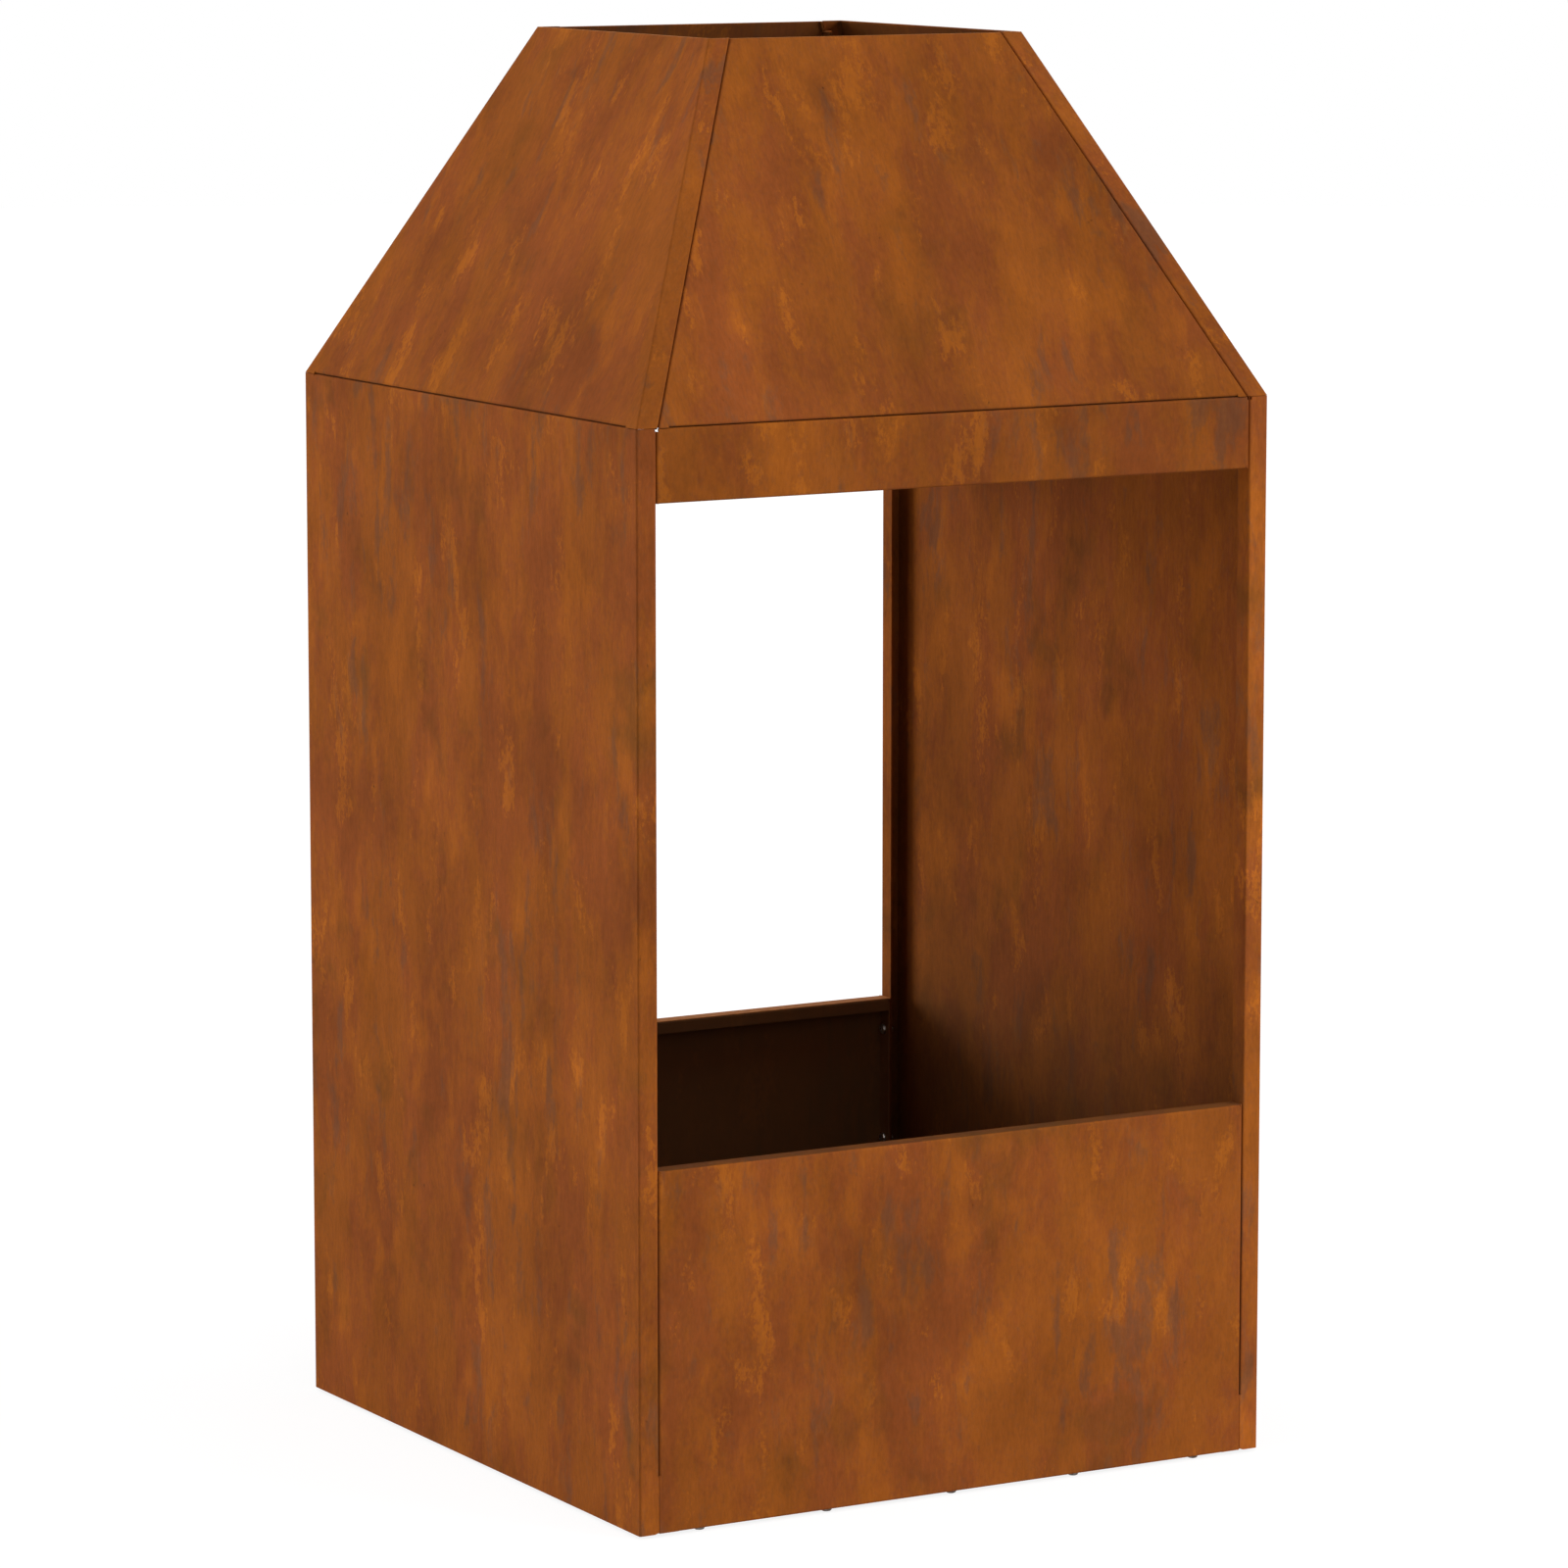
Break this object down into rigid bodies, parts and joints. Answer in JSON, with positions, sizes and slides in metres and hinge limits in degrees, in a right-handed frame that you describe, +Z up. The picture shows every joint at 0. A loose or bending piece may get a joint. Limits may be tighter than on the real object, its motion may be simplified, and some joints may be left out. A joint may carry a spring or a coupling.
{
  "type": "outdoor fireplace",
  "caption": "Free-standing garden fireplace of folded weathering steel sheet: square body open at the front and back, raised fire bed, tapered hood with a square mouth.",
  "frame": {"origin": "on the ground, under the middle of the fireplace", "axes": "+Z up; the front opening looks along -Y; the left side panel is at -X"},
  "size_m": [0.5, 0.5, 1.0025],
  "materials": {
    "weathered_steel": "matte orange-brown rust patina with fine upright streaks",
    "fire_bed_steel": "matte dark rust, sooty",
    "plated_steel": "satin zinc plate, slightly dulled"
  },
  "bodies": {
    "root": {"left_side_panel": "weathered_steel", "right_side_panel": "weathered_steel", "lower_front_panel": "weathered_steel", "lower_back_panel": "weathered_steel", "front_lintel": "weathered_steel", "back_lintel": "weathered_steel", "hood_left_panel": "weathered_steel", "hood_right_panel": "weathered_steel", "hood_front_panel": "weathered_steel", "hood_back_panel": "weathered_steel", "fire_bed_tray": "fire_bed_steel", "base_screw_front_1": "plated_steel", "base_screw_front_2": "plated_steel", "base_screw_front_3": "plated_steel", "base_screw_front_4": "plated_steel", "base_screw_front_5": "plated_steel", "base_screw_back_1": "plated_steel", "base_screw_back_2": "plated_steel", "base_screw_back_3": "plated_steel", "base_screw_back_4": "plated_steel", "base_screw_back_5": "plated_steel", "lower_panel_screw_front_left_1": "plated_steel", "lower_panel_screw_front_left_2": "plated_steel", "lower_panel_screw_front_left_3": "plated_steel", "lower_panel_screw_front_right_1": "plated_steel", "lower_panel_screw_front_right_2": "plated_steel", "lower_panel_screw_front_right_3": "plated_steel", "lower_panel_screw_back_left_1": "plated_steel", "lower_panel_screw_back_left_2": "plated_steel", "lower_panel_screw_back_left_3": "plated_steel", "lower_panel_screw_back_right_1": "plated_steel", "lower_panel_screw_back_right_2": "plated_steel", "lower_panel_screw_back_right_3": "plated_steel", "lintel_screw_front_left": "plated_steel", "lintel_screw_front_right": "plated_steel", "lintel_screw_back_left": "plated_steel", "lintel_screw_back_right": "plated_steel", "hood_corner_screw_front_left_1": "plated_steel", "hood_corner_screw_front_left_2": "plated_steel", "hood_corner_screw_front_right_1": "plated_steel", "hood_corner_screw_front_right_2": "plated_steel", "hood_corner_screw_back_left_1": "plated_steel", "hood_corner_screw_back_left_2": "plated_steel", "hood_corner_screw_back_right_1": "plated_steel", "hood_corner_screw_back_right_2": "plated_steel", "shoulder_screw_front_1": "plated_steel", "shoulder_screw_front_2": "plated_steel", "shoulder_screw_back_1": "plated_steel", "shoulder_screw_back_2": "plated_steel", "shoulder_screw_left_1": "plated_steel", "shoulder_screw_left_2": "plated_steel", "shoulder_screw_right_1": "plated_steel", "shoulder_screw_right_2": "plated_steel"}
  },
  "joints": []
}
